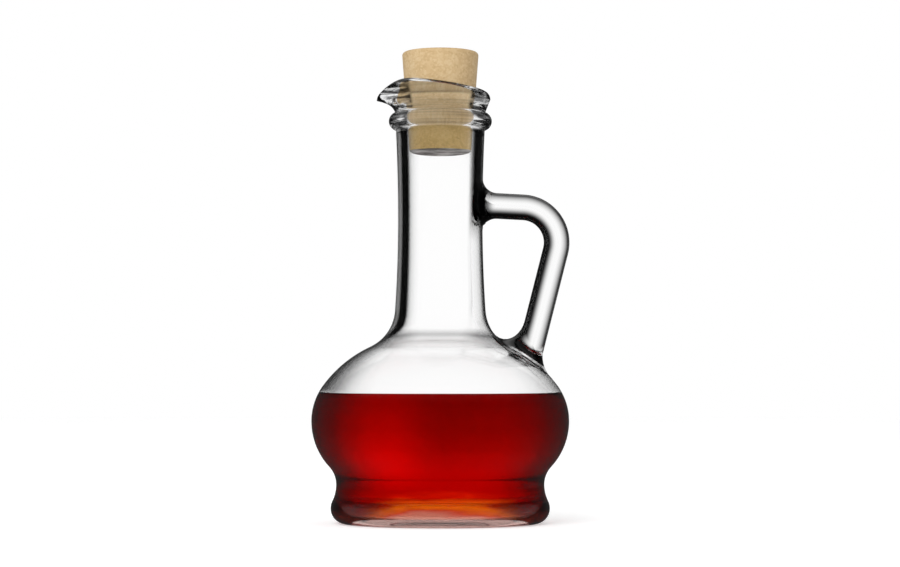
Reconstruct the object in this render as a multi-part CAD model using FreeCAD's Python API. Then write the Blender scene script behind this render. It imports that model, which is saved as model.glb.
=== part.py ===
import FreeCAD, Part
import os
from math import acos, asin, atan2, copysign, cos, exp, pi, radians, sin, tan

# An oil carafe of clear glass, about a quarter of a litre. A footed bulb runs up into a tall neck with a rolled
# bead, a tilted lip with a pouring spout, and a handle bent from solid rod. A tapered cork closes the mouth, and
# red vinegar stands in the bulb. All sizes are in millimetres.
# Frame: +Z is up, the spout points to -X and the handle to +X. The origin is the middle of the foot's underside.

V = FreeCAD.Vector

# Outside of the body: each station has a radius and the height where the body has it
footRadius = 38.2
footHeight = 5.3
waistRadius = 36.3
waistHeight = 13.6
bulbRadius = 45.0
bulbHeight = 35.7
shoulderRadius = 24.5
shoulderHeight = 61.6
shoulderSlope = 25.0
neckRadius = 14.8
neckHeight = 106.0
collarRadius = 15.6

# Its free arcs: the share that the lower arc of an S takes, the share of the largest round that fits the dome,
# and the radius of the neck's long hollow curve
footShare = 0.32
waistShare = 0.28
domeShare = 0.82
neckRound = 480.0

# Glass between the outside and the hollow
baseThickness = 3.8
footWall = 3.2
bulbWall = 2.8
boreRadius = 11.4
innerWaistShare = 0.37

# Underside: a standing ring round a shallow hollow
standingRing = 4.5
puntDepth = 1.4

# Rolled bead under the mouth, dished under the lip
beadRadius = 18.1
beadHeight = 140.8
beadRound = 3.1
beadDish = 3.0

# Lip: a thick fire-polished ring, tilted up towards the spout
lipRadius = 17.6
lipHeight = 153.3
lipTilt = 7.0
lipRound = 2.6
lipLean = 2.8
lipRoot = 141.5
sectionFullness = 0.35

# Seat of the cork in the mouth, which opens above it by so much a millimetre
seatTop = 147.5
mouthOpening = 0.2

# Spout drawn out of the lip, its widths half angles round the mouth
spoutReach = 5.0
spoutWidth = 28.0
spoutDroop = 4.8
spoutDroopWidth = 25.0
spoutThinning = 0.1
spoutUndercut = 6.0

# Handle: a round rod with two straight runs and one bend, melted on at both ends. Its lower run aims at a point
# inside the shoulder, so far down the slope from where the shoulder turns, and so deep under it
rodDiameter = 9.0
handleReach = 45.3
handleTop = 111.3
handleTopSlope = 3.0
handleBend = 12.3
handleFootRun = 8.3
handleFootDepth = 5.6
upperBlend = 5.0
lowerBlend = 4.5

# Cork, a plain cone with rounded edges
corkTopRadius = 13.5
corkBottomRadius = 10.9
corkLength = 35.3
corkBottom = 129.9
corkTopEdge = 1.2
corkBottomEdge = 0.5
corkFit = 0.1

# Vinegar
liquidLevel = 44.3
liquidFit = 0.05

# Control points round the mouth and round the section of the lip
mouthPoles = 32
sectionPoles = 16


def point(x, z):
    return V(x, 0, z)


def onArc(centre, radius, angle):
    return centre + point(radius * cos(angle), radius * sin(angle))


def line(start, end):
    return Part.LineSegment(start, end).toShape()


def arc(centre, radius, start, end):
    """An arc in the XZ plane between two angles, taken from +X towards +Z."""
    middle = onArc(centre, radius, (start + end) / 2)
    return Part.Arc(onArc(centre, radius, start), middle, onArc(centre, radius, end)).toShape()


def swell(lower, upper, share):
    """An S of two tangent arcs between stations where the wall stands upright. The lower takes the share."""
    step = lower.x - upper.x
    rise = upper.z - lower.z
    side = 1 if step > 0 else -1
    total = (step * step + rise * rise) / (2 * abs(step))
    low = share * total
    high = total - low
    lowCentre = lower - point(side * low, 0)
    highCentre = upper + point(side * high, 0)
    across = highCentre - lowCentre
    meeting = atan2(across.z, across.x)
    return [
        arc(lowCentre, low, 0 if side > 0 else pi, meeting),
        arc(highCentre, high, meeting + side * pi, pi if side > 0 else 0),
    ]


def outwards(angle):
    return point(cos(angle), sin(angle))


def domeRound():
    """Radius of the dome's first arc, a share of the one that would reach the shoulder's slope by itself."""
    slope = pi / 2 - radians(shoulderSlope)
    straight = point(shoulderRadius - bulbRadius, shoulderHeight - bulbHeight).dot(outwards(slope))
    return domeShare * straight / (1 - cos(slope))


def roundedOver(bulb, turning, roundness):
    """Two tangent arcs from the bulb's upright side to the slope of the shoulder. The first has the radius."""
    slope = pi / 2 - radians(shoulderSlope)
    first = bulb - point(roundness, 0)
    apart = first - turning + outwards(slope) * roundness
    extra = -apart.dot(apart) / (2 * apart.dot(outwards(slope)))
    second = turning - outwards(slope) * (roundness + extra)
    change = atan2((first - second).z, (first - second).x)
    return [arc(first, roundness, 0, change), arc(second, roundness + extra, change, slope)]


def sweptIn(turning, neck, roundness):
    """Two tangent hollow arcs from the slope of the shoulder to the upright neck. The second has the radius."""
    slope = pi / 2 - radians(shoulderSlope)
    second = neck + point(roundness, 0)
    apart = turning - second + outwards(slope) * roundness
    less = -apart.dot(apart) / (2 * apart.dot(outwards(slope)))
    first = turning + outwards(slope) * (roundness + less)
    change = atan2((first - second).z, (first - second).x) % (2 * pi)
    return [arc(first, roundness + less, slope + pi, change), arc(second, roundness, change, pi)]


def turned(edges):
    """The solid that a closed outline sweeps round the axis, with its seam at the back."""
    solid = Part.Face(Part.Wire(edges)).revolve(V(0, 0, 0), V(0, 0, 1), 360)
    solid.rotate(V(0, 0, 0), V(0, 0, 1), 90)
    return solid


def glassOutside():
    """The body from the standing ring to the bead, still full."""
    foot = point(footRadius, footHeight)
    corner = point(footRadius - footHeight, footHeight)
    ring = point(corner.x - standingRing, 0)
    punt = point(0, puntDepth)
    waist = point(waistRadius, waistHeight)
    bulb = point(bulbRadius, bulbHeight)
    turning = point(shoulderRadius, shoulderHeight)
    neck = point(neckRadius, neckHeight)
    bead = point(beadRadius - beadRound, beadHeight)
    beadStart = -acos((collarRadius - bead.x) / beadRound)
    collar = onArc(bead, beadRound, beadStart)
    flare = collar - neck
    flareRound = flare.dot(flare) / (2 * flare.x)
    flareAngle = pi - asin(flare.z / flareRound)
    puntRound = (ring.x * ring.x + puntDepth * puntDepth) / (2 * puntDepth)
    puntAngle = acos(ring.x / puntRound)
    top = onArc(bead, beadRound, pi / 2)
    dish = point(0, top.z - beadDish)
    edges = [
        arc(point(0, puntDepth - puntRound), puntRound, pi / 2, puntAngle),
        line(ring, point(corner.x, 0)),
        arc(corner, footHeight, -pi / 2, 0),
    ]
    edges += swell(foot, waist, footShare)
    edges += swell(waist, bulb, waistShare)
    edges += roundedOver(bulb, turning, domeRound())
    edges += sweptIn(turning, neck, neckRound)
    edges += [
        arc(neck + point(flareRound, 0), flareRound, pi, flareAngle),
        arc(bead, beadRound, beadStart, pi / 2),
        line(top, dish),
        line(dish, punt),
    ]
    return turned(edges)


def corkRadius(height):
    """Radius of the cork's cone at a height, also past its ends."""
    return corkBottomRadius + (corkTopRadius - corkBottomRadius) * (height - corkBottom) / corkLength


def glassInside(inset):
    """The hollow from the floor through the bore and the cork's seat, drawn in on all sides by an inset."""
    slope = pi / 2 - radians(shoulderSlope)
    floor = baseThickness + inset
    foot = point(footRadius - footWall - inset, footHeight + baseThickness)
    cornerRound = foot.z - floor
    corner = foot - point(cornerRound, 0)
    waist = point(waistRadius - footWall - inset, waistHeight)
    bulb = point(bulbRadius - bulbWall - inset, bulbHeight)
    turning = point(shoulderRadius, shoulderHeight) - outwards(slope) * bulbWall
    sweep = (turning.x - boreRadius) / (1 - cos(slope))
    sweepCentre = turning + outwards(slope) * sweep
    taper = (corkTopRadius - corkBottomRadius) / corkLength
    seat = point(boreRadius, corkBottom + (boreRadius - corkFit - corkBottomRadius) / taper)
    above = corkBottom + corkLength
    flare = point(corkRadius(above) + corkFit, above)
    edges = [line(point(0, floor), point(corner.x, floor)), arc(corner, cornerRound, -pi / 2, 0)]
    edges += swell(foot, waist, footShare)
    edges += swell(waist, bulb, innerWaistShare)
    edges += roundedOver(bulb, turning, domeRound() - bulbWall)
    edges += [
        arc(sweepCentre, sweep, slope + pi, pi),
        line(onArc(sweepCentre, sweep, pi), seat),
        line(seat, flare),
        line(flare, point(0, above)),
        line(point(0, above), point(0, floor)),
    ]
    return turned(edges)


def lipRing():
    """The lip as one closed surface: an oval section carried round the mouth. It grows taller towards the spout,
    where it is drawn out and then down. The poles lie a little outside the surface, by the two gains."""
    mouthGain = 3 / (2 + cos(2 * pi / mouthPoles))
    sectionGain = 3 / (2 + cos(2 * pi / sectionPoles))
    rows = []
    for i in range(mouthPoles):
        turn = 2 * pi * i / mouthPoles
        drawn = exp(-(((turn - pi) / radians(spoutWidth)) ** 2))
        drooped = exp(-(((turn - pi) / radians(spoutDroopWidth)) ** 2))
        crest = lipHeight - tan(radians(lipTilt)) * lipRadius * cos(turn) - spoutDroop * drooped
        widest = crest - lipRound
        row = []
        for j in range(sectionPoles):
            around = 2 * pi * j / sectionPoles
            depth = max(0, -sin(around))
            side = cos(around)
            if depth > 0:
                side = copysign(abs(side) ** sectionFullness, side)
            z = widest - depth * (widest - lipRoot)
            outer = lipRadius - lipLean * depth
            inner = corkRadius(z) + corkFit + mouthOpening * (z - seatTop)
            half = (outer - inner) / 2 * (1 - spoutThinning * drawn * (1 - depth) ** spoutUndercut)
            spout = spoutReach * drawn * (1 - depth) ** spoutUndercut
            out = ((outer + inner) / 2 + half * side * sectionGain + spout) * mouthGain
            z = widest + sectionGain * (lipRound * max(0, sin(around)) - depth * (widest - lipRoot))
            row.append(V(out * cos(turn), out * sin(turn), z))
        rows.append(row)
    mouthKnots = list(range(mouthPoles + 1))
    sectionKnots = list(range(sectionPoles + 1))
    surface = Part.BSplineSurface()
    surface.buildFromPolesMultsKnots(
        rows,
        [1] * len(mouthKnots),
        [1] * len(sectionKnots),
        mouthKnots,
        sectionKnots,
        True,
        True,
        3,
        3,
    )
    return Part.Solid(Part.Shell([surface.toShape()]))


def handleRod():
    """The rod, from inside the neck's wall round the bend and down into the shoulder."""
    rod = rodDiameter / 2
    slope = radians(handleTopSlope)
    fall = radians(shoulderSlope)
    bend = point(handleReach - rod - handleBend, 0)
    bend.z = handleTop - tan(slope) * (bend.x - neckRadius) - handleBend / cos(slope)
    foot = point(shoulderRadius, shoulderHeight) + outwards(-fall) * handleFootRun
    foot -= outwards(pi / 2 - fall) * handleFootDepth
    toFoot = foot - bend
    turnTop = pi / 2 - slope
    turnEnd = atan2(toFoot.z, toFoot.x) + acos(handleBend / toFoot.Length)
    first = onArc(bend, handleBend, turnTop)
    last = onArc(bend, handleBend, turnEnd)
    start = point(boreRadius, first.z + tan(slope) * (first.x - boreRadius))
    path = Part.Wire([line(start, first), arc(bend, handleBend, turnTop, turnEnd), line(last, foot)])
    section = Part.Wire(Part.Circle(start, first - start, rod).toShape())
    return path.makePipeShell([section], True, False), foot


def melted(solid, middle, radius):
    """The solid with a blend along the free-form edges where the rod runs into it near a point."""
    curved = [edge for edge in solid.Edges if not edge.Degenerated and isinstance(edge.Curve, Part.BSplineCurve)]
    near = [edge for edge in curved if edge.CenterOfMass.distanceToPoint(middle) < 2 * rodDiameter]
    return solid.makeFillet(radius, near)


def glassCarafe():
    """The whole glass in one piece, hollowed last."""
    rod, foot = handleRod()
    body = glassOutside().fuse(rod)
    body = melted(body, V(neckRadius, 0, handleTop), upperBlend)
    body = melted(body, foot, lowerBlend)
    return body.fuse(lipRing()).cut(glassInside(0))


def corkStopper():
    """The cone, its sharp edges taken off."""
    cork = Part.makeCone(corkBottomRadius, corkTopRadius, corkLength, V(0, 0, corkBottom))
    rims = [edge for edge in cork.Edges if edge.Closed and not edge.Degenerated]
    rims.sort(key=lambda edge: edge.CenterOfMass.z)
    cork = cork.makeFillet(corkTopEdge, [rims[-1]])
    rims = [edge for edge in cork.Edges if edge.Closed and not edge.Degenerated]
    rims.sort(key=lambda edge: edge.CenterOfMass.z)
    return cork.makeFillet(corkBottomEdge, [rims[0]])


def vinegar():
    """The hollow up to the level, just clear of the glass."""
    block = Part.makeCylinder(bulbRadius, liquidLevel)
    return glassInside(liquidFit).common(block)


os.makedirs("parts", exist_ok=True)
for name, solid in (
    ("glass_carafe", glassCarafe()),
    ("cork_stopper", corkStopper()),
    ("vinegar", vinegar()),
):
    solid = solid.Solids[0] if len(solid.Solids) == 1 else solid
    solid.exportStep("parts/" + name + ".step")
    print(name, solid.isValid(), len(solid.Solids), len(solid.Faces), round(solid.Volume), solid.BoundBox)
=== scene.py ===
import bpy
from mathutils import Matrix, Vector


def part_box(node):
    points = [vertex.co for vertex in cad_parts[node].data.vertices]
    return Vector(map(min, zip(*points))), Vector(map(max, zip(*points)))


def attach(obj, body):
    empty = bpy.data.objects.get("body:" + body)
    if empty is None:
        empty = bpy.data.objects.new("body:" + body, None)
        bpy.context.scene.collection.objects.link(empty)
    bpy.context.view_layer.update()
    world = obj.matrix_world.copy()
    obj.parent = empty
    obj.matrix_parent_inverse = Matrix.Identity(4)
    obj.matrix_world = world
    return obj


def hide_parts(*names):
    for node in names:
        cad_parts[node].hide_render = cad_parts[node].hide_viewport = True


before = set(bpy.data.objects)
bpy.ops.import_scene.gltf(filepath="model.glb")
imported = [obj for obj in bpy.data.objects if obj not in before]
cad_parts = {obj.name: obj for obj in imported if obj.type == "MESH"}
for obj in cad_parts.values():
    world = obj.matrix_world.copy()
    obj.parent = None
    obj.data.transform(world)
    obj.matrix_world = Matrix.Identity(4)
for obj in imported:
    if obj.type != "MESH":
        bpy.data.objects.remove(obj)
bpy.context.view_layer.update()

import bpy
import numpy as np
from math import acos, asin, pi, radians, tan

mm = 0.001
glassLow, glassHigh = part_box("glass_carafe")
corkLow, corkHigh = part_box("cork_stopper")
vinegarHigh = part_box("vinegar")[1]
scene = bpy.context.scene


def linear(code):  # sRGB hex to linear red, green, blue, alpha
    value = np.array([int(code[i:i + 2], 16) for i in (0, 2, 4)]) / 255
    value = np.where(value <= 0.04045, value / 12.92, ((value + 0.055) / 1.055) ** 2.4)
    return [float(v) for v in value] + [1.0]


white = linear("ffffff")


def addNode(material, kind, inputs=None, stops=(), **settings):
    # One node: its settings, a ramp's stops (position, hex or level), then its values or links by socket.
    node = material.node_tree.nodes.new("ShaderNode" + kind)
    for key, value in settings.items():
        setattr(node, key, value)
    while stops and len(node.color_ramp.elements) < len(stops):
        node.color_ramp.elements.new(0.5)
    for index, (position, colour) in enumerate(stops):
        colour = linear(colour)[:3] if isinstance(colour, str) else colour
        node.color_ramp.elements[index].position = position
        node.color_ramp.elements[index].color = (*(np.ones(3) * colour), 1.0)
    for key, value in (inputs or {}).items():
        if isinstance(value, bpy.types.Node):  # a node stands for the first output that it shows
            value = next(socket for socket in value.outputs if socket.enabled)
        if isinstance(value, bpy.types.NodeSocket):
            material.node_tree.links.new(value, node.inputs[key])
        else:
            node.inputs[key].default_value = value
    return node


def newMaterial(name):
    material = bpy.data.materials.new(name)
    material.use_nodes = True
    material.node_tree.nodes.clear()
    return material


def finished(material, shader, **volume):
    addNode(material, "OutputMaterial", {"Surface": shader, **volume})
    return material


def newMesh(name, points, faces, groups=None):
    mesh = bpy.data.meshes.new(name)
    mesh.from_pydata(points.reshape(-1, 3), [], faces)
    mesh.validate()
    mesh.polygons.foreach_set("use_smooth", np.ones(len(mesh.polygons), bool))
    if groups is not None:
        mesh.polygons.foreach_set("material_index", groups)
    mesh.update()
    piece = bpy.data.objects.new(name, mesh)
    scene.collection.objects.link(piece)
    return piece


def gridFaces(rows, columns):
    # Quads of a grid that closes round its columns: the corner at row r and column c is r columns + c.
    row, column = np.meshgrid(np.arange(rows - 1), np.arange(columns), indexing="ij")
    here = row * columns
    after = (column + 1) % columns
    corners = [here + column, here + after, here + columns + after, here + columns + column]
    return np.stack(corners, -1).reshape(-1, 4)


def capFaces(columns, first, centre, up):  # a fan from a ring to its centre
    column = np.arange(columns)
    after = (column + 1) % columns
    fan = [first + column, first + after, np.full(columns, centre)]
    return np.stack(fan if up else fan[::-1], -1)


def closedGrid(name, grid, groups=None):
    # A grid of rings, each row a ring, closed by a fan at the middle of the first row and of the last.
    rows, columns = grid.shape[:2]
    ends = np.stack([grid[0].mean(0), grid[-1].mean(0)])
    points = np.concatenate([grid.reshape(-1, 3), ends])
    faces = gridFaces(rows, columns).tolist()
    faces += capFaces(columns, 0, rows * columns, False).tolist()
    faces += capFaces(columns, (rows - 1) * columns, rows * columns + 1, True).tolist()
    if groups is not None:
        bands = np.repeat(groups[1:], columns)
        fans = np.repeat([groups[0], groups[-1]], columns)
        groups = np.concatenate([bands, fans])
    return newMesh(name, points, faces, groups)


def revolved(profile, turns, scale=mm):
    # Each row is a ring: x + iy = radius e^(i turn), z = height. Both may vary with the turn.
    profile = np.broadcast_to(profile.reshape(len(profile), -1), (len(profile), len(turns)))
    ring = profile.real * np.exp(1j * turns)
    return np.stack([ring.real, ring.imag, profile.imag], -1) * scale


# The glass, in millimetres, as complex numbers: the real part is the radius, the imaginary part the height
glass = {
    "foot": 38.2 + 5.3j, "waist": 36.3 + 13.6j, "bulb": -glassLow.x / mm + 35.7j, "shoulder": 24.5 + 61.6j,
    "neck": 14.8 + 106j, "collarRadius": 15.6, "shoulderSlope": 25, "neckRound": 480,
    "footShare": 0.32, "waistShare": 0.28, "innerWaistShare": 0.37, "domeRound": 21.0,
    "floor": 3.8, "footWall": 3.2, "bulbWall": 2.8, "bore": 11.4, "ringWidth": 4.5, "punt": 1.4,
    "bead": 15.0 + 140.8j, "beadRound": 3.1, "beadEnd": 74, "poleAngle": 0.004, "poleRadius": 0.4,
    "columns": 168,
}
lip = {
    "radius": 17.6, "height": 153.3, "tilt": 7, "round": 2.6, "lean": 2.8, "root": 141.5,
    "reach": 5.0, "width": 28, "droop": 4.8, "droopWidth": 25, "thinning": 0.1, "undercut": 6,
    "seatTop": 147.5, "opening": 0.2, "start": 144.3, "end": 144.2, "sideSteps": 9, "crestSteps": 17,
}
cork = {
    "topRadius": corkHigh.x / mm, "bottomRadius": 10.9, "bottom": corkLow.z / mm, "top": corkHigh.z / mm,
    "topEdge": 1.2, "bottomEdge": 0.5, "fit": 0.1, "columns": 128,
}
handle = {
    "radius": 4.5, "reach": glassHigh.x / mm, "top": 111.3, "topSlope": 3, "bend": 12.3,
    "footRun": 8.3, "footDepth": 5.6, "upperBlend": 5.0, "lowerBlend": 4.5, "lowerMore": 1.3,
    "buried": 1.2, "inset": 0.06, "slideLow": -14.0, "slideHigh": 16.0, "runGap": 0.6, "columns": 64,
}
shoulderNormal = np.exp(1j * (pi / 2 - radians(glass["shoulderSlope"])))


def arcPoints(centre, radius, start, end, steps=14):  # centre + radius e^(i angle), from start to end
    return centre + radius * np.exp(1j * np.linspace(start, end, steps))


def straight(start, end, steps=12):  # start + (end - start) share, for shares from 0 to 1
    return start + (end - start) * np.linspace(0, 1, steps)


def swell(lower, upper, share, steps=14):
    # Two tangent arcs between upright points; their radii add up to (step^2 + rise^2) / 2 step.
    step = lower.real - upper.real
    side = np.sign(step)
    total = abs(upper - lower) ** 2 / (2 * abs(step))
    low = share * total
    lowCentre = lower - side * low
    highCentre = upper + side * (total - low)
    meeting = np.angle(highCentre - lowCentre)
    return [
        arcPoints(lowCentre, low, 0 if side > 0 else pi, meeting, steps),
        arcPoints(highCentre, total - low, meeting + side * pi, pi if side > 0 else 0, steps),
    ]


def along(first, second):  # how far one complex vector reaches along another: their dot product
    return (first * np.conj(second)).real


def roundedOver(bulb, turning, radius, steps=14):
    # Two tangent arcs from upright to the shoulder's slope, the second longer by what the gap asks for.
    first = bulb - radius
    apart = first - turning + shoulderNormal * radius
    extra = -abs(apart) ** 2 / (2 * along(apart, shoulderNormal))
    second = turning - shoulderNormal * (radius + extra)
    change = np.angle(first - second)
    return [
        arcPoints(first, radius, 0, change, steps),
        arcPoints(second, radius + extra, change, np.angle(shoulderNormal), steps),
    ]


def sweptIn(turning, neck, radius, steps=14):
    # The same in hollow arcs, from the slope to the upright neck, the second with the given radius.
    second = neck + radius
    apart = turning - second + shoulderNormal * radius
    less = -abs(apart) ** 2 / (2 * along(apart, shoulderNormal))
    first = turning + shoulderNormal * (radius + less)
    change = np.angle(first - second) % (2 * pi)
    return [
        arcPoints(first, radius + less, np.angle(shoulderNormal) + pi, change, steps),
        arcPoints(second, radius, change, pi, steps=24),
    ]


def joined(parts):  # one line of points, without the doubles where two parts meet
    return np.concatenate([parts[0]] + [part[1:] for part in parts[1:]])


def corkRadius(height):  # an even taper: bottom radius + (top radius - bottom radius) rise
    rise = (height - cork["bottom"]) / (cork["top"] - cork["bottom"])
    return cork["bottomRadius"] + (cork["topRadius"] - cork["bottomRadius"]) * rise


def outerProfile(fine=1):
    # Punt arc, standing ring, foot arc, two S curves, dome, neck and the bead's arc, all tangent in turn.
    foot, bead = glass["foot"], glass["bead"]
    corner = foot - foot.imag
    ring = corner.real - glass["ringWidth"]
    puntRound = (ring ** 2 + glass["punt"] ** 2) / (2 * glass["punt"])
    puntCentre = 1j * (glass["punt"] - puntRound)
    puntStart = pi / 2 - glass["poleAngle"]
    beadStart = -acos((glass["collarRadius"] - bead.real) / glass["beadRound"])
    collar = bead + glass["beadRound"] * np.exp(1j * beadStart)
    flare = collar - glass["neck"]
    flareRound = abs(flare) ** 2 / (2 * flare.real)
    flareEnd = pi - asin(flare.imag / flareRound)
    parts = [
        arcPoints(puntCentre, puntRound, puntStart, acos(ring / puntRound), steps=10 * fine),
        straight(ring + 0j, corner.real + 0j, steps=4),
        arcPoints(corner, foot.imag, -pi / 2, 0, steps=14 * fine),
    ]
    parts += swell(foot, glass["waist"], glass["footShare"], steps=12 * fine)
    parts += swell(glass["waist"], glass["bulb"], glass["waistShare"], steps=14 * fine)
    parts += roundedOver(glass["bulb"], glass["shoulder"], glass["domeRound"], steps=14 * fine)
    parts += sweptIn(glass["shoulder"], glass["neck"], glass["neckRound"], steps=14 * fine)
    parts += [
        arcPoints(glass["neck"] + flareRound, flareRound, pi, flareEnd, steps=16 * fine),
        arcPoints(bead, glass["beadRound"], beadStart, radians(glass["beadEnd"]), steps=16),
    ]
    return joined(parts)


def innerProfile(inset=0.0, fine=1):
    # Floor, rounded corner, two S curves, dome, the sweep into the bore, and the bore up to the cork's seat.
    floor = glass["floor"] + inset
    foot = complex(glass["foot"].real - glass["footWall"] - inset, glass["foot"].imag + glass["floor"])
    corner = foot - (foot.imag - floor)
    waist = glass["waist"] - glass["footWall"] - inset
    bulb = glass["bulb"] - glass["bulbWall"] - inset
    turning = glass["shoulder"] - shoulderNormal * glass["bulbWall"]
    sweep = (turning.real - glass["bore"]) / (1 - shoulderNormal.real)
    sweepCentre = turning + shoulderNormal * sweep
    taper = (cork["topRadius"] - cork["bottomRadius"]) / (cork["top"] - cork["bottom"])
    seatRise = (glass["bore"] - cork["fit"] - cork["bottomRadius"]) / taper
    seat = glass["bore"] + 1j * (cork["bottom"] + seatRise)
    top = corkRadius(lip["end"]) + cork["fit"] + 1j * lip["end"]
    parts = [
        straight(glass["poleRadius"] + 1j * floor, corner.real + 1j * floor, steps=10),
        arcPoints(corner, foot.imag - floor, -pi / 2, 0, steps=12 * fine),
    ]
    parts += swell(foot, waist, glass["footShare"], steps=10 * fine)
    parts += swell(waist, bulb, glass["innerWaistShare"], steps=14 * fine)
    parts += roundedOver(bulb, turning, glass["domeRound"] - glass["bulbWall"], steps=14 * fine)
    parts += [
        arcPoints(sweepCentre, sweep, np.angle(shoulderNormal) + pi, pi, steps=18 * fine),
        straight(sweepCentre - sweep, seat, steps=20),
        straight(seat, top, steps=6),
    ]
    return joined(parts)


def lipSection(turns):
    # A ring's section at each turn: up the outer side, over a round crest, down the inner side to the seat.
    # The crest rises by the tilt, and a bell curve of the turn from the spout draws it out and down.
    drawn = np.exp(-((turns - pi) / radians(lip["width"])) ** 2)
    drooped = np.exp(-((turns - pi) / radians(lip["droopWidth"])) ** 2)
    crest = lip["height"] - tan(radians(lip["tilt"])) * lip["radius"] * np.cos(turns) - lip["droop"] * drooped
    widest = crest - lip["round"]
    outerStart = np.arcsin((widest - lip["start"]) / (widest - lip["root"]))
    innerEnd = np.arcsin((widest - lip["end"]) / (widest - lip["root"]))
    share = np.linspace(0, 1, lip["sideSteps"])[:, None]
    overCrest = pi * np.linspace(0, 1, lip["crestSteps"])[:, None] + 0 * turns
    around = np.concatenate([-outerStart * (1 - share[:-1]), overCrest, pi + innerEnd * share[1:]])
    depth = np.maximum(0, -np.sin(around))
    side = np.cos(around)
    side = np.where(depth > 0, np.where(side > 0, 1.0, -1.0), side)
    height = widest + lip["round"] * np.maximum(0, np.sin(around)) - depth * (widest - lip["root"])
    outer = lip["radius"] - lip["lean"] * depth
    inner = corkRadius(height) + cork["fit"] + lip["opening"] * np.maximum(0, height - lip["seatTop"])
    half = (outer - inner) / 2 * (1 - lip["thinning"] * drawn * (1 - depth) ** lip["undercut"])
    spout = lip["reach"] * drawn * (1 - depth) ** lip["undercut"]
    return (outer + inner) / 2 + half * side + spout + 1j * height


def glassBody():
    # Outer profile, lip section and inner profile in one line, turned round the axis.
    turns = np.linspace(0, 2 * pi, glass["columns"], endpoint=False)
    outside = outerProfile()
    inside = innerProfile()[::-1]
    everywhere = np.ones(len(turns))
    parts = [outside[:, None] * everywhere, lipSection(turns), inside[1:, None] * everywhere]
    profile = np.concatenate(parts)
    outerRows = len(outside) + lip["sideSteps"] + lip["crestSteps"] // 2
    groups = np.repeat([0, 1], [outerRows, len(profile) - outerRows])
    return closedGrid("glassBody", revolved(profile, turns), groups)


def depthOutside(points, outline):
    # Distance of points, each at sqrt(x^2 + y^2) + iz, from the outline turned round the axis; + is outside.
    flat = np.hypot(points[..., 0], points[..., 1]) + 1j * points[..., 2]
    near = np.abs(flat[..., None] - outline).min(-1)
    return np.where(flat.real > np.interp(flat.imag, outline.imag, outline.real), near, -near)


def rootRings(start, direction, side, blend, more, outline, turns):
    # Rings where the rod melts into the body. Each ring has a distance to the body and a spread, both from a
    # quarter circle: distance = blend (1 - cos q), spread = rod + blend (1 - sin q). Towards the given side
    # the blend grows by more cos^2 of the turn. Each point slides along the rod until it has its ring's
    # distance, found by halving.
    quarter = np.linspace(0, pi / 2, 11)[:, None]
    blend = blend * (1 + more * np.maximum(0, np.cos(turns)) ** 2)
    distance = blend * (1 - np.cos(quarter)) - handle["inset"]
    distance = np.concatenate([[0 * turns - handle["buried"]], distance])
    spread = np.concatenate([[blend], blend * (1 - np.sin(quarter))]) + handle["radius"]
    across = np.array([0, 1.0, 0])
    ring = np.cos(turns)[:, None] * side + np.sin(turns)[:, None] * across
    base = start + spread[..., None] * ring
    low = np.full(base.shape[:2], handle["slideLow"])
    high = np.full(base.shape[:2], handle["slideHigh"])
    for halving in range(18):
        middle = (low + high) / 2
        outside = depthOutside(base + middle[..., None] * direction, outline) > distance
        high = np.where(outside, middle, high)
        low = np.where(outside, low, middle)
    return base + middle[..., None] * direction, middle.max()


def upright(value):  # a complex point of the handle's plane as x, y, z
    return np.array([value.real, 0, value.imag])


def glassHandle():
    # A round rod along two straight runs and the arc between them, with melted roots at both ends.
    slope = radians(handle["topSlope"])
    fall = radians(glass["shoulderSlope"])
    radius, blend = handle["radius"], handle["bend"]
    bend = handle["reach"] - radius - blend + 0j
    bend += 1j * (handle["top"] - tan(slope) * (bend.real - glass["neck"].real) - blend / np.cos(slope))
    foot = glass["shoulder"] + np.exp(-1j * fall) * handle["footRun"] - shoulderNormal * handle["footDepth"]
    turnTop = pi / 2 - slope
    turnEnd = np.angle(foot - bend) + acos(blend / abs(foot - bend))
    first = bend + blend * np.exp(1j * turnTop)
    last = bend + blend * np.exp(1j * turnEnd)
    upper = glass["neck"].real + 1j * (first.imag + tan(slope) * (first.real - glass["neck"].real))
    outward = (first - upper) / abs(first - upper)
    upward = (last - foot) / abs(last - foot)
    lower = foot + upward * handle["footDepth"] / along(upward, shoulderNormal)
    outline = outerProfile(fine=14)
    turns = np.linspace(0, 2 * pi, handle["columns"], endpoint=False)
    topLine = upright(upper), upright(outward), upright(outward * 1j)
    footLine = upright(lower), upright(upward), upright(-upward / 1j)
    topRoot, topSlide = rootRings(*topLine, handle["upperBlend"], 0.0, outline, turns)
    footRoot, footSlide = rootRings(*footLine, handle["lowerBlend"], handle["lowerMore"], outline, turns)
    centres = joined([
        straight(lower + upward * (footSlide + handle["runGap"]), last, steps=24),
        arcPoints(bend, blend, turnEnd, turnTop, steps=40),
        straight(first, upper + outward * (topSlide + handle["runGap"]), steps=12),
    ])
    ahead = np.gradient(centres)
    side = 1j * ahead / np.abs(ahead)
    run = centres[:, None] + radius * np.cos(turns) * side[:, None]
    run = np.stack([run.real, radius * np.sin(turns) + 0 * run.real, run.imag], -1)
    topRoot = topRoot[::-1]
    start = np.argmin(np.abs(topRoot[0] - run[-1, 0]).sum(-1))  # the root's column that meets the run's first
    gaps = [np.abs(topRoot[0, (start + way) % len(turns)] - run[-1, 1]).sum() for way in (1, -1)]
    way = -1 if gaps[0] > gaps[1] else 1
    topRoot = topRoot[:, (start + way * np.arange(len(turns))) % len(turns)]
    rings = np.concatenate([footRoot, run, topRoot]) * mm
    return closedGrid("glassHandle", rings, np.full(len(rings), 2))


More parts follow.
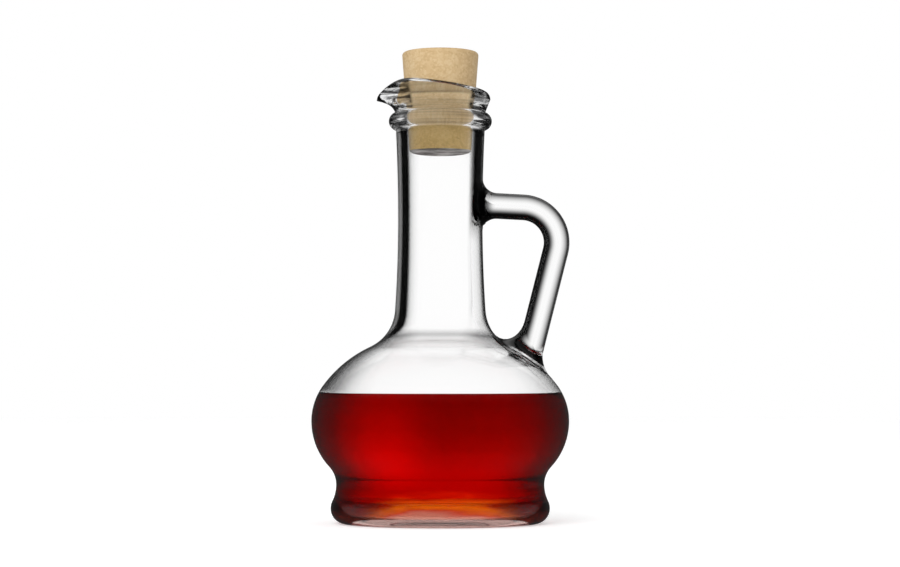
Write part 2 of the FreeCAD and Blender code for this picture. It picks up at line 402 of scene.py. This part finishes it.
# The glass materials: heights, places and the sizes of a pattern's cells in millimetres, the rest as shares
glassLook = {
    "ior": 1.5, "specular": "595959", "bore": "fefefe",
    "wave": 26.316, "waveDepth": 0.6, "waveStrength": 0.12,
    "top": 160, "wet": (42, 47), "neck": (62, 66), "underHandle": (108, 96), "overCork": (136.5, 138.5),
    "handleSide": (0.1, 0.6), "elbowSides": (0.3, 0.75), "rim": (0.24, 0.38), "fromAbove": (0.25, 0.88),
    "streaks": (11.111, 1.4286), "streakBend": 0.8, "rings": (83.333, 1.25),
    "loopCentre": (26.5, 84), "loopEdge": 1.2, "root": (62, 58), "folds": (3.8462, 2.0), "foldBend": 0.6,
}


def lightLevels(stops):
    # Stops of how much light a surface lets through, as a level or as a hex colour. The shader takes the root
    # of its colour, so each level goes in squared.
    squared = []
    for position, level in stops:
        level = linear(level)[:3] if isinstance(level, str) else level
        squared.append((position, np.square(level)))
    return squared


def givesWay(material, value, ends, first, second, unit=1.0):
    # The first tint up to the first end, the second past the second end, smooth between.
    inputs = {"Value": value, "From Min": ends[0] * unit, "From Max": ends[1] * unit}
    share = addNode(material, "MapRange", inputs, interpolation_type="SMOOTHSTEP")
    return addNode(material, "Mix", {0: share, 6: first, 7: second}, data_type="RGBA")


def streakPattern(material, coords, sizes, bending=0.0, detail=2.0):
    # Noise drawn out sideways: its cells have one size across and another upright.
    across, tall = [1 / (size * mm) for size in sizes]
    drawnOut = addNode(material, "VectorMath", {0: coords, 1: (across, across, tall)}, operation="MULTIPLY")
    inputs = {"Vector": drawnOut, "Scale": 1.0, "Detail": detail, "Distortion": bending}
    return addNode(material, "TexNoise", inputs)


def whereFaced(material, tint):  # the tint where light comes in, none where it leaves
    behind = addNode(material, "NewGeometry").outputs["Backfacing"]
    return addNode(material, "Mix", {0: behind, 6: tint, 7: white}, data_type="RGBA")


def wavyGlass(material, tint):
    # Smooth clear glass with slow waves a few centimetres long, as blown and hand-worked glass has
    coords = addNode(material, "TexCoord").outputs["Object"]
    inputs = {"Vector": coords, "Scale": 1 / (glassLook["wave"] * mm), "Detail": 1.0}
    waves = addNode(material, "TexNoise", inputs)
    inputs = {"Height": waves, "Strength": glassLook["waveStrength"], "Distance": glassLook["waveDepth"] * mm}
    inputs = {
        "Base Color": tint, "Roughness": 0.0, "IOR": glassLook["ior"], "Transmission Weight": 1.0,
        "Specular Tint": linear(glassLook["specular"]), "Normal": addNode(material, "Bump", inputs),
    }
    return addNode(material, "BsdfPrincipled", inputs)


def towards(material, direction=None):  # cosine between the view and a direction, or the surface's own normal
    inputs = {"Blend": 0.5, "Normal": direction} if direction else {"Blend": 0.5}
    facing = addNode(material, "LayerWeight", inputs).outputs["Facing"]
    return addNode(material, "Math", {0: 1.0, 1: facing}, operation="SUBTRACT")


def acrossRod(material):
    # How far out a point lies on a rod: sqrt(1 - cos^2) of the angle between the view and the normal.
    facing = towards(material)
    squared = addNode(material, "Math", {0: facing, 1: facing}, operation="MULTIPLY")
    rest = addNode(material, "Math", {0: 1.0, 1: squared}, operation="SUBTRACT", use_clamp=True)
    return addNode(material, "Math", {0: rest}, operation="SQRT")


def acrossBody(material, radial):
    # How far out a point lies on a body turned round an upright axis, seen from the side:
    # along / sqrt(along^2 + out^2), from the view's parts along the tangent and the radius.
    # It fades away for a view from above, where those two parts are small.
    tangent = addNode(material, "VectorMath", {0: radial, 1: (0, 0, 1)}, operation="CROSS_PRODUCT")
    squares = []
    for direction in (radial, tangent):
        part = towards(material, direction)
        squares.append(addNode(material, "Math", {0: part, 1: part}, operation="MULTIPLY"))
    outPart, sidePart = squares
    level = addNode(material, "Math", {0: outPart, 1: sidePart}, operation="ADD")
    divisor = addNode(material, "Math", {0: level, 1: 0.001}, operation="MAXIMUM")
    share = addNode(material, "Math", {0: sidePart, 1: divisor}, operation="DIVIDE")
    share = addNode(material, "Math", {0: share}, operation="SQRT")
    above, beside = glassLook["fromAbove"]
    inputs = {"Value": level, "From Min": above, "From Max": beside}
    seen = addNode(material, "MapRange", inputs, interpolation_type="SMOOTHSTEP")
    return addNode(material, "Math", {0: share, 1: seen}, operation="MULTIPLY")


def radialDirection(material, coords):  # the level direction from the axis to the point
    flat = addNode(material, "VectorMath", {0: coords, 1: (1, 1, 0)}, operation="MULTIPLY")
    return addNode(material, "VectorMath", {0: flat}, operation="NORMALIZE")


def bodyGlass():
    # Clear pressed soda glass, fire-polished, with painted shade: its colour goes black towards the outline,
    # for the dark rim that a tube shows where light turns back at the bore
    material = newMaterial("firePolishedSodaGlass")
    look = glassLook
    coords = addNode(material, "TexCoord").outputs["Object"]
    radial = radialDirection(material, coords)
    upward = addNode(material, "SeparateXYZ", {0: coords}).outputs["Z"]
    sideways = addNode(material, "SeparateXYZ", {0: radial}).outputs["X"]
    out = acrossBody(material, radial)
    height = addNode(material, "Math", {0: upward, 1: look["top"] * mm}, operation="DIVIDE")

    # How far out the bore's edge lies at each height; the share is 0.5 there and 1 at the outline
    edges = [(0.4, 0.9), (0.418, 0.78), (0.43, 0.74), (0.86, 0.74), (0.9, 0.72)]
    hollow = addNode(material, "ValToRGB", {0: height}, edges)
    past = addNode(material, "Math", {0: out, 1: hollow}, operation="SUBTRACT")
    wall = addNode(material, "Math", {0: 1.0, 1: hollow}, operation="SUBTRACT")
    share = addNode(material, "Math", {0: past, 1: wall}, operation="DIVIDE")
    share = addNode(material, "Math", {0: share, 1: 0.5}, operation="MULTIPLY")
    share = addNode(material, "Math", {0: share, 1: 0.5}, operation="ADD")

    # Painted shade on the neck's wall, dark towards its outline: on the spout's side, on the handle's side,
    # and there inside the loop
    neckShadeSpoutSide = addNode(material, "ValToRGB", {0: share}, lightLevels([
        (0.0, 1.0), (0.2, 0.92), (0.35, 0.74), (0.44, 0.47), (0.49, 0.15), (0.53, 0.003), (0.79, 0.003),
        (0.84, 0.14), (0.88, 0.25), (1.0, 0.15),
    ]))
    byHandle = addNode(material, "ValToRGB", {0: share}, lightLevels([
        (0.25, 1.0), (0.34, 0.97), (0.38, 0.85), (0.42, 0.62), (0.47, 0.35), (0.52, 0.17), (0.57, 0.05),
        (0.61, 0.003), (0.9, 0.003), (1.0, 0.1),
    ]))
    inLoop = addNode(material, "ValToRGB", {0: share}, lightLevels([
        (0.25, 1.0), (0.5, 0.94), (0.67, 0.84), (0.75, 0.75), (0.8, 0.66), (0.84, 0.41), (0.89, 0.11),
        (0.94, 0.01), (1.0, 0.01),
    ]))
    neckTint = givesWay(material, upward, look["underHandle"], byHandle, inLoop, mm)
    neckTint = givesWay(material, sideways, look["handleSide"], neckShadeSpoutSide, neckTint)

    # Painted shade at the dome's edge, softer, darker on the spout's side than on the handle's, and a little
    # painted shade at the edge of the nearly clear wall where it is wet inside
    domeShadeSpoutSide = addNode(material, "ValToRGB", {0: out}, lightLevels([
        (0.55, 1.0), (0.66, 0.94), (0.74, 0.82), (0.8, 0.62), (0.87, 0.35), (0.92, 0.18), (0.96, 0.08),
        (1.0, 0.02),
    ]))
    domeShadeHandleSide = addNode(material, "ValToRGB", {0: out}, lightLevels([
        (0.7, 1.0), (0.8, 0.96), (0.86, 0.85), (0.9, 0.7), (0.94, 0.5), (0.98, 0.35), (1.0, 0.2),
    ]))
    domeTint = givesWay(material, sideways, look["handleSide"], domeShadeSpoutSide, domeShadeHandleSide)
    wetTint = addNode(material, "ValToRGB", {0: out}, lightLevels([(0.9, 1.0), (1.0, 0.8)]))

    # The cork's part of the neck: painted shade in fine rings over it, painted bands of highlight and shade
    # by height, and painted shade in streaks in the rim beside it
    rings = streakPattern(material, coords, look["rings"], detail=3.0)
    levels = lightLevels([(0.36, 0.62), (0.44, 0.84), (0.5, 0.95), (0.56, 1.0)])
    rings = addNode(material, "ValToRGB", {0: rings}, levels)
    # Painted highlight lines and shade bands by height over the cork
    bands = addNode(material, "ValToRGB", {0: height}, lightLevels([
        (0.868, 0.85), (0.874, 1.0), (0.88, 0.88), (0.893, 0.84), (0.905, 0.92), (0.918, 0.97), (0.924, 1.0),
        (0.93, 0.97), (0.935, 0.66), (0.942, 0.74), (0.955, 0.86),
    ]))
    overCork = addNode(material, "VectorMath", {0: rings, 1: bands}, operation="MULTIPLY")
    streaks = streakPattern(material, coords, look["streaks"], look["streakBend"])
    levels = lightLevels([(0.35, 0.02), (0.45, 0.09), (0.52, 0.2), (0.6, 0.6), (0.68, 0.88)])
    streaks = addNode(material, "ValToRGB", {0: streaks}, levels)
    rimTint = givesWay(material, share, look["rim"], overCork, streaks)

    # From the foot upwards, each tint takes over from the one below it
    tint = wetTint
    for ends, above in ((look["wet"], domeTint), (look["neck"], neckTint), (look["overCork"], rimTint)):
        tint = givesWay(material, upward, ends, tint, above, mm)

    # Painted shade in thin grey lines where the dome turns into the neck, darker at the sides
    elbow = addNode(material, "ValToRGB", {0: height}, lightLevels([
        (0.362, 1.0), (0.375, 0.97), (0.386, 0.91), (0.395, 0.74), (0.401, 0.88), (0.4085, 0.5),
        (0.415, 0.75), (0.422, 1.0),
    ]))
    elbowSide = addNode(material, "ValToRGB", {0: height}, lightLevels([
        (0.362, 1.0), (0.372, 0.93), (0.382, 0.74), (0.391, 0.56), (0.3995, 0.39), (0.4075, 0.07),
        (0.416, 0.6), (0.425, 1.0),
    ]))
    elbow = givesWay(material, out, look["elbowSides"], elbow, elbowSide)
    tint = addNode(material, "VectorMath", {0: tint, 1: elbow}, operation="MULTIPLY")
    return finished(material, wavyGlass(material, whereFaced(material, tint)))


def boreGlass():
    # The blown inside of the same glass, clear and a little wavy
    material = newMaterial("blownInnerGlass")
    return finished(material, wavyGlass(material, linear(glassLook["bore"])))


def rodGlass():
    # Solid drawn rod with painted shade: its colour goes black towards its outline, most of all inside the
    # loop, for how the rod lenses the light
    material = newMaterial("drawnGlassRod")
    out = acrossRod(material)
    inLoop = addNode(material, "ValToRGB", {0: out}, lightLevels([
        (0.06, 0.97), (0.14, 0.87), (0.22, 0.72), (0.3, 0.52), (0.38, 0.31), (0.46, 0.13), (0.54, 0.02),
        (0.62, 0.003),
    ]))
    outside = addNode(material, "ValToRGB", {0: out}, lightLevels([
        (0.3, 0.97), (0.42, 0.86), (0.5, 0.75), (0.58, 0.62), (0.66, 0.46), (0.74, 0.27), (0.82, 0.06),
        (0.9, 0.01), (1.0, 0.1),
    ]))

    # A face is inside the loop when its normal points at the loop's centre
    coords = addNode(material, "TexCoord").outputs["Object"]
    flat = addNode(material, "VectorMath", {0: coords, 1: (1, 0, 1)}, operation="MULTIPLY")
    centre = (glassLook["loopCentre"][0] * mm, 0, glassLook["loopCentre"][1] * mm)
    toLoop = addNode(material, "VectorMath", {0: centre, 1: flat}, operation="SUBTRACT")
    normal = addNode(material, "NewGeometry").outputs["Normal"]
    inward = addNode(material, "VectorMath", {0: toLoop, 1: normal}, operation="DOT_PRODUCT")
    ends = (-glassLook["loopEdge"], glassLook["loopEdge"])
    tint = givesWay(material, inward, ends, outside, inLoop, mm)

    # Where the rod is melted on, painted shade in a pattern of small folds takes the place of the dark
    # outline
    folds = streakPattern(material, coords, glassLook["folds"], glassLook["foldBend"])
    levels = lightLevels([(0.38, 0.2), (0.46, 0.5), (0.54, 0.75), (0.62, 0.95)])
    folds = addNode(material, "ValToRGB", {0: folds}, levels)
    upward = addNode(material, "SeparateXYZ", {0: coords}).outputs["Z"]
    tint = givesWay(material, upward, glassLook["root"], tint, folds, mm)
    return finished(material, wavyGlass(material, whereFaced(material, tint)))


body = glassBody()
rod = glassHandle()
print("glass surfaces:", len(body.data.polygons), "and", len(rod.data.polygons))
glassMaterials = [bodyGlass(), boreGlass(), rodGlass()]
for piece in (body, rod):
    for material in glassMaterials:
        piece.data.materials.append(material)
join = body.modifiers.new("join", "BOOLEAN")
join.operation = "UNION"
join.solver = "EXACT"
join.object = rod
bpy.context.view_layer.update()
whole = bpy.data.meshes.new_from_object(body.evaluated_get(bpy.context.evaluated_depsgraph_get()))
carafe = bpy.data.objects.new("carafe", whole)
scene.collection.objects.link(carafe)
bpy.data.objects.remove(body)
bpy.data.objects.remove(rod)
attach(carafe, "root")
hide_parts("glass_carafe")
print("glass joined:", len(whole.polygons), [material.name for material in whole.materials])


# The vinegar: sizes in millimetres, edges of its tints as shares of its height. It reaches a little into the
# wall, so that no air shows between them
liquid = {
    "level": vinegarHigh.z / mm, "into": 0.35, "climb": 0.3, "climbWidth": 1.0, "columns": 168,
    "middleRows": 3, "wallFrom": 12, "bulbFrom": 36, "bulbTo": 60, "edgeWidth": 6, "topFrom": 8, "pole": 0.5,
    "top": 46, "width": 84, "waves": (14.286, 2.381), "waveShare": 0.09, "arch": 0.5, "lower": 0.055,
    "paintedGlowEdge": (0.27, 0.2), "baseEdge": (0.0845, 0.083), "paintedLitUnderside": "cbc0bd", "dimSide": 0.58,
    "ior": 1.34, "clearness": 0.9, "absorbs": "fdcbbc", "density": 15.0,
}


def vinegarBody():
    # The inner outline grown into the wall up to the climb, then the top: level + climb exp(-gap / width).
    turns = np.linspace(0, 2 * pi, liquid["columns"], endpoint=False)
    outline = innerProfile(-liquid["into"])
    wet = outline[(outline.imag < liquid["level"] + liquid["climb"]) & (outline.real > liquid["wallFrom"])]
    wet = np.concatenate([outline[:liquid["middleRows"]], wet])
    inside = innerProfile()
    rising = inside[(inside.imag > liquid["bulbFrom"]) & (inside.imag < liquid["bulbTo"])]
    edge = np.interp(liquid["level"], rising.imag, rising.real)
    nearWall = np.linspace(0, liquid["edgeWidth"], 16)
    gap = np.concatenate([nearWall, np.linspace(liquid["topFrom"], edge - liquid["pole"], 10)])
    top = edge - gap + 1j * (liquid["level"] + liquid["climb"] * np.exp(-gap / liquid["climbWidth"]))
    return closedGrid("vinegarBody", revolved(np.concatenate([wet, top]), turns))


def redVinegar():
    # Red wine vinegar: deep red, with painted shade darker towards the top and at the outline, painted light
    # on the bulb's left, and a painted orange glow where light comes up through the foot
    material = newMaterial("redWineVinegar")
    coords = addNode(material, "TexCoord").outputs["Object"]
    place = addNode(material, "SeparateXYZ", {0: coords}).outputs
    out = acrossBody(material, radialDirection(material, coords))
    height = addNode(material, "Math", {0: place["Z"], 1: liquid["top"] * mm}, operation="DIVIDE")
    offCentre = addNode(material, "Math", {0: place["X"], 1: liquid["width"] * mm}, operation="DIVIDE")
    across = addNode(material, "Math", {0: offCentre, 1: 0.5}, operation="ADD")
    # Deep red, with painted shade darker towards the top
    tint = addNode(material, "ValToRGB", {0: height}, lightLevels([
        (0.085, "a04030"), (0.12, "b01208"), (0.15, "c00300"), (0.21, "b40100"), (0.28, "bc0000"),
        (0.44, "bc0000"), (0.58, "9e0000"), (0.72, "880000"), (0.89, "7a0000"),
    ]))

    # A painted glow in the foot, orange where light comes up through it, kept to the middle of the width: its
    # colours follow the height, raised by an arch off^2 / 2 and by slow waves
    waves = streakPattern(material, coords, liquid["waves"])
    waves = addNode(material, "Math", {0: waves, 1: liquid["waveShare"]}, operation="MULTIPLY")
    arch = addNode(material, "Math", {0: offCentre, 1: offCentre}, operation="MULTIPLY")
    arch = addNode(material, "Math", {0: arch, 1: liquid["arch"]}, operation="MULTIPLY")
    lifted = addNode(material, "Math", {0: height, 1: arch}, operation="ADD")
    lifted = addNode(material, "Math", {0: lifted, 1: waves}, operation="ADD")
    lifted = addNode(material, "Math", {0: lifted, 1: liquid["lower"]}, operation="SUBTRACT")
    lit = addNode(material, "ValToRGB", {0: lifted}, lightLevels([
        (0.085, "dc9480"), (0.11, "e0581a"), (0.145, "ff8a12"), (0.175, "ff6408"), (0.22, "dc1800"),
        (0.27, "c40000"),
    ]))
    middle = addNode(material, "ValToRGB", {0: across}, [(0.2, 0.0), (0.37, 1.0), (0.66, 1.0), (0.82, 0.0)])
    middle.color_ramp.interpolation = "EASE"
    lit = givesWay(material, lifted, liquid["paintedGlowEdge"], tint, lit)
    tint = addNode(material, "Mix", {0: middle, 6: tint, 7: lit}, data_type="RGBA")

    # Painted shade: the outline darkens, sooner about the waist
    edge = addNode(material, "ValToRGB", {0: out}, lightLevels([
        (0.3, 1.0), (0.38, 0.97), (0.45, 0.87), (0.53, 0.72), (0.6, 0.44), (0.65, 0.32), (0.7, 0.24),
    ]))
    waistEdge = addNode(material, "ValToRGB", {0: out}, lightLevels([
        (0.25, 1.0), (0.38, 0.9), (0.48, 0.63), (0.55, 0.4), (0.6, 0.25), (0.7, 0.1),
    ]))
    byWaist = addNode(material, "ValToRGB", {0: height}, [(0.22, 0.0), (0.28, 1.0), (0.36, 0.8), (0.55, 0.0)])
    edge = addNode(material, "Mix", {0: byWaist, 6: edge, 7: waistEdge}, data_type="RGBA")

    # Painted light: the bulb's left is brighter than its dim right, whose painted shade the tint by height
    # already has
    paintedLightLobe = addNode(material, "ValToRGB", {0: across}, lightLevels([
        (0.08, 0.62), (0.157, 0.81), (0.215, 0.97), (0.3, 1.0), (0.34, 0.96), (0.4, 0.8), (0.45, 0.65),
        (0.51, 0.58), (0.75, 0.62), (0.9, 0.58),
    ]))
    brighter = (1 / liquid["dimSide"] ** 2,) * 3
    paintedLightLobe = addNode(material, "VectorMath", {0: paintedLightLobe, 1: brighter}, operation="MULTIPLY")
    levels = [(0.26, 0.0), (0.44, 0.55), (0.58, 1.0), (0.8, 1.0), (1.0, 0.5)]
    strength = addNode(material, "ValToRGB", {0: height}, levels)
    paintedLightLobe = addNode(material, "Mix", {0: strength, 6: white, 7: paintedLightLobe}, data_type="RGBA")
    for other in (edge, paintedLightLobe):
        tint = addNode(material, "VectorMath", {0: tint, 1: other}, operation="MULTIPLY")
    # Painted light: the underside is pale pinkish grey where light comes up through the foot
    tint = givesWay(material, height, liquid["baseEdge"], tint, linear(liquid["paintedLitUnderside"]))
    inputs = {
        "Base Color": whereFaced(material, tint), "Roughness": 0.0, "IOR": liquid["ior"],
        "Transmission Weight": liquid["clearness"], "Specular Tint": linear("000000"),
    }
    shader = addNode(material, "BsdfPrincipled", inputs)
    inputs = {"Color": linear(liquid["absorbs"]), "Density": liquid["density"]}
    return finished(material, shader, Volume=addNode(material, "VolumeAbsorption", inputs))


vinegar = vinegarBody()
vinegar.data.materials.append(redVinegar())
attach(vinegar, "root")
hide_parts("vinegar")
print("vinegar:", len(vinegar.data.polygons))


# The cork's finish: patterns and heights in millimetres, and the slope of the line where the lip covers it
corkLook = {
    "grain": 0.66667, "clouds": 6.25, "cloudShare": 0.65, "pits": 1.1111, "pitDepth": 0.3, "pitStrength": 0.3,
    "roughness": 0.8, "lipSlope": 0.16, "underLip": (150.5, 152.5), "beadFade": 2.2, "base": (0.2, 0.4),
}


def corkBody():
    # A cone with rounded edges: bottom, edge arc, straight taper, edge arc and top, turned round the axis.
    turns = np.linspace(0, 2 * pi, cork["columns"], endpoint=False)
    low, high, bottomEdge, topEdge = cork["bottom"], cork["top"], cork["bottomEdge"], cork["topEdge"]
    foot = cork["bottomRadius"] - bottomEdge + 1j * (low + bottomEdge)
    crown = cork["topRadius"] - topEdge + 1j * (high - topEdge)
    profile = joined([
        straight(glass["poleRadius"] + 1j * low, foot.real + 1j * low, steps=10),
        arcPoints(foot, bottomEdge, -pi / 2, 0, steps=6),
        straight(foot + bottomEdge, crown + topEdge, steps=40),
        arcPoints(crown, topEdge, 0, pi / 2, steps=9),
        straight(crown.real + 1j * high, glass["poleRadius"] + 1j * high, steps=10),
    ])
    return closedGrid("corkBody", revolved(profile, turns))


def groundCork():
    # Pressed fine cork: pale tan grains under 1 mm with darker specks, browner below the bead, with painted
    # light that makes it paler behind the lip and painted shade that makes its bottom grey
    material = newMaterial("pressedGroundCork")
    look = corkLook
    coords = addNode(material, "TexCoord").outputs["Object"]
    place = addNode(material, "SeparateXYZ", {0: coords}).outputs
    inputs = {"Vector": coords, "Scale": 1 / (look["grain"] * mm)}
    grains = addNode(material, "TexVoronoi", inputs).outputs["Color"]
    grains = addNode(material, "SeparateColor", {0: grains}).outputs["Red"]
    inputs = {"Vector": coords, "Scale": 1 / (look["clouds"] * mm), "Detail": 4.0}
    clouds = addNode(material, "TexNoise", inputs)
    blend = addNode(material, "Mix", {0: look["cloudShare"], 2: grains, 3: clouds})
    tones = [
        ((0.25, "c4a577"), (0.45, "cfb184"), (0.6, "d5b98d"), (0.8, "dbc298")),  # own tone, above the lip
        ((0.25, "d6b888"), (0.45, "e2c596"), (0.6, "e8cda0"), (0.8, "eed6ac")),  # painted light: paler, behind the lip
        ((0.25, "bd9d61"), (0.45, "cbab6c"), (0.6, "d2b274"), (0.8, "d8ba7e")),  # browner, below the bead
    ]
    corkOwnTone, paintedLightUnderLip, wet = [addNode(material, "ValToRGB", {0: blend}, stops) for stops in tones]
    # Painted shade: the bottom goes grey
    under = addNode(material, "ValToRGB", {0: clouds}, [(0.38, "6a6561"), (0.5, "9d9895"), (0.6, "cac6c3")])

    # The lip's line falls towards the handle, so the height is read along its slope
    slanted = addNode(material, "Math", {0: place["X"], 1: look["lipSlope"]}, operation="MULTIPLY")
    slanted = addNode(material, "Math", {0: place["Z"], 1: slanted}, operation="ADD")
    bead = glass["bead"].imag
    low = [cork["bottom"] + edge for edge in look["base"]]
    tone = corkOwnTone
    for value, ends, below in (
        (slanted, look["underLip"], paintedLightUnderLip), (place["Z"], (bead - look["beadFade"], bead), wet),
        (place["Z"], low, under),
    ):
        tone = givesWay(material, value, ends, below, tone, mm)
    inputs = {"Vector": coords, "Scale": 1 / (look["pits"] * mm), "Detail": 2.0}
    pits = addNode(material, "TexNoise", inputs)
    inputs = {"Height": pits, "Strength": look["pitStrength"], "Distance": look["pitDepth"] * mm}
    inputs = {"Base Color": tone, "Roughness": look["roughness"], "Normal": addNode(material, "Bump", inputs)}
    return finished(material, addNode(material, "BsdfPrincipled", inputs))


stopper = corkBody()
stopper.data.materials.append(groundCork())
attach(stopper, "root")
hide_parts("cork_stopper")
print("cork:", len(stopper.data.polygons))


# A white sweep to stand on and soft light from all round, in metres and degrees
stage = {
    "floorRadius": 6.0, "floorColumns": 96, "floorTones": ("f7f7f7", "f9f9f9"), "cloudSize": 0.33333,
    "floorLift": 0.43,
    "inGloss": 0.05, "overhead": 1.0, "overheadFrom": (0.5, 0.8), "worldLight": 0.62,
    "lampPower": 13.0, "lampSize": 0.9, "lampPlace": (-0.45, -1.35, 0.9), "lampTilt": 60, "lampTurn": -18,
    "eye": (0.0, -0.85, 0.042), "pitch": 2.815, "aside": 0.229, "lens": 97.16, "sensor": 36.0,
    "nearest": 0.01, "bounces": 24,
}


def whiteFloor():
    # A matt white table: plain white where glass shows it, with the object's shadow where it is seen itself
    material = newMaterial("mattWhiteSweep")
    coords = addNode(material, "TexCoord").outputs["Object"]
    clouds = addNode(material, "TexNoise", {"Vector": coords, "Scale": 1 / stage["cloudSize"]})
    tone = addNode(material, "ValToRGB", {0: clouds}, list(zip((0.3, 0.7), stage["floorTones"])))
    path = addNode(material, "LightPath").outputs
    lift = {0: path["Is Camera Ray"], 1: stage["floorLift"]}
    inputs = {
        "Base Color": tone, "Roughness": 0.9, "Emission Color": white,
        "Emission Strength": addNode(material, "Math", lift, operation="MULTIPLY"),
    }
    lit = addNode(material, "BsdfPrincipled", inputs)
    level = addNode(material, "Mix", {0: path["Is Transmission Ray"], 2: stage["inGloss"], 3: 1.0})
    shown = addNode(material, "Emission", {"Color": white, "Strength": level})
    optic = {0: path["Is Glossy Ray"], 1: path["Is Transmission Ray"]}
    optic = addNode(material, "Math", optic, operation="MAXIMUM")
    return finished(material, addNode(material, "MixShader", {0: optic, 1: lit, 2: shown}))


def studioLight():
    # White where it is seen, also through glass. It lights evenly, and gloss shows it almost only overhead
    world = bpy.data.worlds.new("studio")
    world.use_nodes = True
    world.node_tree.nodes.clear()
    path = addNode(world, "LightPath").outputs
    seen = {0: path["Is Camera Ray"], 1: path["Is Transmission Ray"]}
    seen = addNode(world, "Math", seen, operation="MAXIMUM")
    direction = addNode(world, "TexCoord").outputs["Generated"]
    up = addNode(world, "SeparateXYZ", {0: direction}).outputs["Z"]
    start, end = stage["overheadFrom"]
    inputs = {"Value": up, "From Min": start, "From Max": end}
    overhead = addNode(world, "MapRange", inputs, interpolation_type="SMOOTHSTEP")
    gloss = addNode(world, "Mix", {0: overhead, 2: stage["inGloss"], 3: stage["overhead"]})
    strengths = (1.0, stage["worldLight"], gloss)
    glow, soft, inGloss = [addNode(world, "Background", {"Color": white, "Strength": s}) for s in strengths]
    others = addNode(world, "MixShader", {0: path["Is Glossy Ray"], 1: soft, 2: inGloss})
    light = addNode(world, "MixShader", {0: seen, 1: others, 2: glow})
    addNode(world, "OutputWorld", {"Surface": light})
    return world


def keyLamp():
    # A broad soft lamp from the upper left in front, which neither glass nor gloss shows
    data = bpy.data.lights.new("keyLamp", "AREA")
    data.energy = stage["lampPower"]
    data.size = stage["lampSize"]
    lamp = bpy.data.objects.new("keyLamp", data)
    lamp.location = stage["lampPlace"]
    lamp.rotation_euler = (radians(stage["lampTilt"]), 0, radians(stage["lampTurn"]))
    lamp.visible_glossy = False
    lamp.visible_transmission = False
    return lamp


def newCamera():  # nearly level, a little below the object's middle and looking up
    data = bpy.data.cameras.new("camera")
    data.lens = stage["lens"]
    data.sensor_width = stage["sensor"]
    data.clip_start = stage["nearest"]
    camera = bpy.data.objects.new("camera", data)
    camera.location = stage["eye"]
    camera.rotation_euler = (radians(90 + stage["pitch"]), 0, radians(-stage["aside"]))
    return camera


turns = np.linspace(0, 2 * pi, stage["floorColumns"], endpoint=False)
rim = revolved(np.array([stage["floorRadius"] + 0j]), turns, 1.0)
floor = newMesh("floor", rim, [list(range(stage["floorColumns"]))])
floor.data.materials.append(whiteFloor())
scene.world = studioLight()
scene.collection.objects.link(keyLamp())
scene.camera = newCamera()
scene.collection.objects.link(scene.camera)
scene.view_settings.view_transform = "Standard"
scene.cycles.max_bounces = stage["bounces"]
scene.cycles.transmission_bounces = stage["bounces"]
print("stage and camera set")
